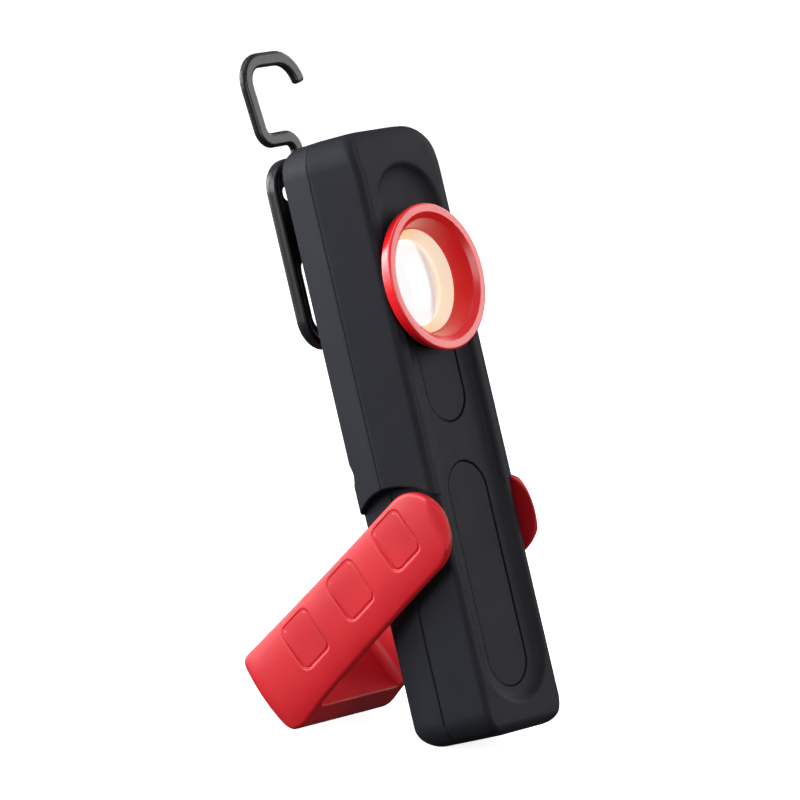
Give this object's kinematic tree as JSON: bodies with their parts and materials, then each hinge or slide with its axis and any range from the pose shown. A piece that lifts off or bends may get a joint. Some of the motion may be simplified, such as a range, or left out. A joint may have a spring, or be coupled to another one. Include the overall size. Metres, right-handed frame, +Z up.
{
  "type": "work light",
  "caption": "Slim handheld inspection light with a deep flared lens bezel, a fold-out U-shaped foot that props it up, and a swivelling, tilting hook on its back.",
  "frame": {"origin": "on the ground below the middle of the bounding box, with the light leaning back on its opened foot", "axes": "+X across the light; -Y is the side that the lens faces; +Z up"},
  "size_m": [0.0544, 0.1102, 0.2294],
  "materials": {
    "shell": "soft-touch matt charcoal",
    "soft_black": "matt, slightly lighter than the shell",
    "rubber": "matt black",
    "red_bezel": "satin red anodised",
    "red_foot": "satin red",
    "reflector": "warm cream, lit by the lamp",
    "lens_glass": "clear, lit white",
    "led": "phosphor yellow",
    "dark_plastic": "moulded matt",
    "aluminium": "milled",
    "steel": "zinc bright",
    "magnet": "nickel plated",
    "black_metal": "black, semi-gloss",
    "cell_wrap": "shrink sleeve",
    "circuit_board": "solder mask"
  },
  "bodies": {
    "light": {"front_housing": "shell", "rear_housing": "shell", "grip_inlay": "soft_black", "lens_ring": "red_bezel", "lens_gasket": "rubber", "reflector_ring": "reflector", "lens": "lens_glass", "lens_holder": "dark_plastic", "led_chip": "led", "led_board": "aluminium", "heat_sink": "aluminium", "battery_cell": "cell_wrap", "battery_cradle": "dark_plastic", "control_board": "circuit_board", "tact_switch": "steel", "charge_port": "steel", "port_board": "circuit_board", "housing_screw_1": "steel", "housing_screw_2": "steel", "housing_screw_3": "steel", "housing_screw_4": "steel", "swivel_boss": "black_metal", "swivel_washer": "steel", "swivel_cap": "steel", "swivel_nut": "steel", "friction_washer_left": "rubber", "friction_washer_right": "rubber"},
    "button": {"power_button": "soft_black"},
    "flap": {"port_flap": "rubber"},
    "carrier": {"hook_plate": "black_metal", "hook_pin": "steel"},
    "hook": {"hook": "black_metal"},
    "foot": {"foot_frame": "red_foot", "foot_magnet_left": "magnet", "foot_magnet_right": "magnet", "pivot_pin_left": "steel", "pivot_pin_right": "steel", "pivot_clip_left": "steel", "pivot_clip_right": "steel"}
  },
  "joints": [
    {"name": "foot_hinge", "type": "hinge", "parent": "light", "child": "foot", "pos_m": [0, -0.02643, 0.07409], "axis": [1, 0, 0], "range_deg": [-62, 32]},
    {"name": "carrier_swivel", "type": "hinge", "parent": "light", "child": "carrier", "pos_m": [0, 0.03642, 0.17057], "axis": [0, 0.9584, -0.2854], "continuous": true},
    {"name": "hook_tilt", "type": "hinge", "parent": "carrier", "child": "hook", "pos_m": [0, 0.04219, 0.18993], "axis": [1, 0, 0], "range_deg": [-100, 0]},
    {"name": "button_press", "type": "slide", "parent": "light", "child": "button", "axis": [0, 0.9584, -0.2854], "range_m": [0, 0.0008], "stiffness_N_per_m": 2500},
    {"name": "flap_hinge", "type": "hinge", "parent": "light", "child": "flap", "pos_m": [0, 0.01122, 0.10764], "axis": [1, 0, 0], "range_deg": [0, 85], "stiffness_Nm_per_rad": 0.002}
  ]
}
